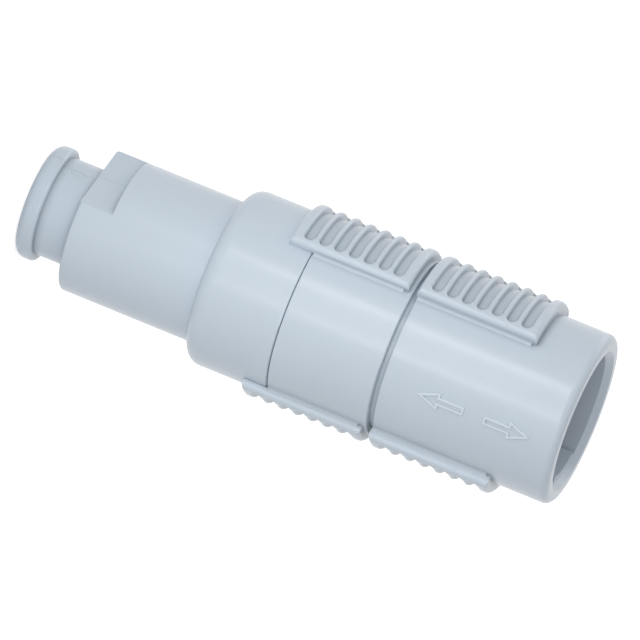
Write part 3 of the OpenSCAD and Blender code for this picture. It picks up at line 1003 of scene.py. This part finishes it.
@dataclass
class Lamp:
    """A soft box that stands round the connector and looks at its middle."""

    name: str
    azimuth: float
    elevation: float
    distance: float
    size: tuple[float, float]
    radiance: float
    tint: Colour = (1.0, 1.0, 1.0)

    def build(self, target: Vector) -> bpy.types.Object:
        """Adds the lamp.

        Args:
            target: The point that it looks at.

        Returns:
            The lamp's object.
        """
        light = bpy.data.lights.new(self.name, "AREA")
        light.shape = "RECTANGLE"
        light.size, light.size_y = self.size
        light.energy = self.radiance * math.pi * self.size[0] * self.size[1]
        light.color = self.tint
        lamp = bpy.data.objects.new(self.name, light)
        bpy.context.scene.collection.objects.link(lamp)
        away = direction(self.azimuth, self.elevation)
        lamp.location = target + away * self.distance
        lamp.rotation_euler = away.to_track_quat("Z", "Y").to_euler()
        lamp.visible_camera = False
        return lamp


def direction(azimuth: float, elevation: float) -> Vector:
    """Unit vector from the object towards a point round it.

    Args:
        azimuth: Degrees from +X towards +Y.
        elevation: Degrees above the floor.

    Returns:
        The vector.
    """
    a, e = math.radians(azimuth), math.radians(elevation)
    return Vector((math.cos(e) * math.cos(a), math.cos(e) * math.sin(a), math.sin(e)))


@dataclass
class Studio:
    """Floor, background, lamps and camera."""

    azimuth: float = 252.5
    elevation: float = 10.78
    roll: float = 112.19
    distance: float = 1.141
    frame_w: float = 64.09 * MM
    aim: Vector = Vector((0, 0, 30 * MM))
    aim_right: float = 0.57 * MM
    aim_up: float = 1.41 * MM
    floor_r: float = 6.0
    horizon: float = 0.74
    zenith: float = 0.5
    floor_glow: float = 0.6

    def build(self) -> None:
        """Adds all of the studio."""
        self._camera()
        self._background()
        self._floor()
        for lamp in (
            Lamp("Front_box", self.azimuth + 22, 0, distance=0.6, size=(0.12, 0.6), radiance=2.05),
            Lamp(
                "Back_box", self.azimuth - 125, 20, distance=0.8, size=(0.5, 0.8), radiance=0.9,
                tint=(1.0, 0.98, 0.95),
            ),
            Lamp("Upper_strip", self.azimuth - 28.6, 0, distance=0.1, size=(0.008, 0.05), radiance=8.0),
            Lamp("Lower_strip", self.azimuth + 9.5, 0, distance=0.1, size=(0.008, 0.05), radiance=4.5),
            Lamp("Wide_card", self.azimuth - 9, 0, distance=0.105, size=(0.08, 0.045), radiance=1.5),
        ):
            lamp.build(self.aim)

    def _camera(self) -> None:
        """Adds the camera, rolled so that the connector lies across the frame."""
        towards = direction(self.azimuth, self.elevation)
        right = Vector((0, 0, 1)).cross(towards).normalized()
        up = towards.cross(right)
        turn = math.radians(self.roll)
        cam_x = math.cos(turn) * right + math.sin(turn) * up
        cam_y = towards.cross(cam_x)
        data = bpy.data.cameras.new("Camera")
        data.sensor_width = 36.0
        data.lens = data.sensor_width * self.distance / self.frame_w
        data.clip_start, data.clip_end = 0.01, 50.0
        camera = bpy.data.objects.new("Camera", data)
        bpy.context.scene.collection.objects.link(camera)
        spot = self.aim + right * self.aim_right + up * self.aim_up + towards * self.distance
        camera.matrix_world = Matrix.Translation(spot) @ Matrix((cam_x, cam_y, towards)).transposed().to_4x4()
        bpy.context.scene.camera = camera

    def _background(self) -> None:
        """Lights the connector from all round, least from above, and shows white to the camera."""
        world = bpy.data.worlds.new("World")
        bpy.context.scene.world = world
        world.use_nodes = True
        tree = world.node_tree
        tree.nodes.clear()
        output = tree.nodes.new("ShaderNodeOutputWorld")
        mix = tree.nodes.new("ShaderNodeMixShader")
        light = tree.nodes.new("ShaderNodeBackground")
        white = tree.nodes.new("ShaderNodeBackground")
        place = tree.nodes.new("ShaderNodeTexCoord")
        axes = tree.nodes.new("ShaderNodeSeparateXYZ")
        level = tree.nodes.new("ShaderNodeMapRange")
        level.inputs["To Min"].default_value = self.horizon
        level.inputs["To Max"].default_value = self.zenith
        tree.links.new(place.outputs["Generated"], axes.inputs[0])
        tree.links.new(axes.outputs["Z"], level.inputs["Value"])
        tree.links.new(level.outputs[0], light.inputs["Strength"])
        tree.links.new(self._shown(tree), mix.inputs["Fac"])
        tree.links.new(light.outputs[0], mix.inputs[1])
        tree.links.new(white.outputs[0], mix.inputs[2])
        tree.links.new(mix.outputs[0], output.inputs["Surface"])
        for shade in (light, white):
            shade.inputs["Color"].default_value = (1.0, 1.0, 1.0, 1.0)

    @staticmethod
    def _shown(tree: bpy.types.NodeTree) -> bpy.types.NodeSocket:
        """Tells camera, glossy and transmission rays from those that light things.

        Args:
            tree: The node tree of the world or the floor.

        Returns:
            The socket that gives 1 for the rays that see the background.
        """
        rays = tree.nodes.new("ShaderNodeLightPath")
        seen = rays.outputs["Is Camera Ray"]
        for name in ("Is Glossy Ray", "Is Transmission Ray"):
            either = tree.nodes.new("ShaderNodeMath")
            either.operation = "MAXIMUM"
            tree.links.new(seen, either.inputs[0])
            tree.links.new(rays.outputs[name], either.inputs[1])
            seen = either.outputs[0]
        return seen

    def _floor(self) -> None:
        """Adds a white floor that keeps the connector's shadow."""
        bpy.ops.mesh.primitive_plane_add(size=2 * self.floor_r)
        floor = Bench.added("Floor")
        material = bpy.data.materials.new("Floor_paper")
        material.use_nodes = True
        tree = material.node_tree
        tree.nodes.clear()
        output = tree.nodes.new("ShaderNodeOutputMaterial")
        both = tree.nodes.new("ShaderNodeAddShader")
        paper = tree.nodes.new("ShaderNodeBsdfDiffuse")
        paper.inputs["Color"].default_value = (0.8, 0.8, 0.8, 1.0)
        glow = tree.nodes.new("ShaderNodeEmission")
        level = tree.nodes.new("ShaderNodeMath")
        level.operation = "MULTIPLY"
        level.inputs[1].default_value = self.floor_glow
        tree.links.new(self._shown(tree), level.inputs[0])
        tree.links.new(level.outputs[0], glow.inputs["Strength"])
        tree.links.new(paper.outputs[0], both.inputs[0])
        tree.links.new(glow.outputs[0], both.inputs[1])
        tree.links.new(both.outputs[0], output.inputs["Surface"])
        floor.data.materials.append(material)
        floor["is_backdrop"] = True


def corners() -> list[list[float]]:
    """The whole object's box as plain lists."""
    return [[float(c) for c in corner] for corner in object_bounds()]


def main() -> None:
    """Loads the frame, builds each sub-assembly in order and sets up the studio."""
    logging.basicConfig(level=logging.INFO, format="%(name)s: %(message)s")
    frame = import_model()
    bpy.context.scene.view_settings.view_transform = "Standard"
    finishes = Finishes()
    finishes.dress(frame["nodes"]["clamp_ring"], Slot.CLAMP)
    for part in (
        BackNut(frame["nodes"], finishes),
        Shell(frame["nodes"], finishes, frame["joints"]),
        CouplingSleeve(frame["nodes"], finishes),
    ):
        for piece in part.build():
            LOG.info("%s: %d faces", piece.name, len(piece.data.polygons))
    Studio().build()


if __name__ == "__main__":
    main()
